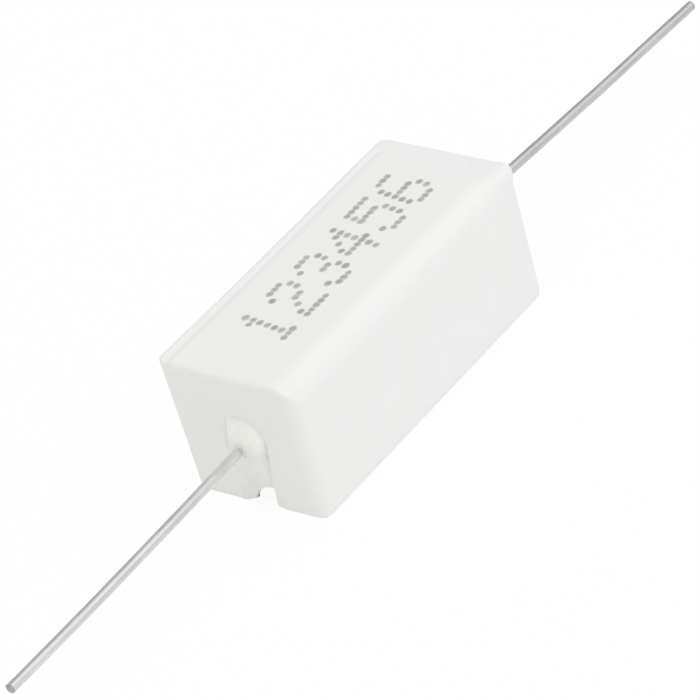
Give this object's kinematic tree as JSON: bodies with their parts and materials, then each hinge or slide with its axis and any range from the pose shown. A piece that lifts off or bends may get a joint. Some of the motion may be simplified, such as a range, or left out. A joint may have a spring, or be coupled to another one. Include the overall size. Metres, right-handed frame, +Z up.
{
  "type": "axial resistor",
  "caption": "Wirewound power resistor: a wound ceramic rod set in cement in a white box-shaped ceramic case, with a straight wire lead out of each end.",
  "frame": {"origin": "centre of the open underside of the case, in the plane of its rim", "axes": "+X along the case from the left lead to the right lead, +Z up out of the closed top, front is -Y"},
  "size_m": [0.0663, 0.0094, 0.009],
  "materials": {
    "case_ceramic": "white, unglazed, fine matt",
    "cement": "set cement, off-white, matt, slightly rough",
    "core_ceramic": "cream, unglazed",
    "resistance_wire": "nickel alloy wire, drawn, dull",
    "cap_steel": "drawn steel sheet, satin",
    "tinned_wire": "tinned copper wire, satin, with faint drawing marks"
  },
  "bodies": {
    "root": {"ceramic_case": "case_ceramic", "cement_fill": "cement", "core_rod": "core_ceramic", "resistance_winding": "resistance_wire", "left_end_cap": "cap_steel", "right_end_cap": "cap_steel", "left_lead": "tinned_wire", "right_lead": "tinned_wire"}
  },
  "joints": []
}
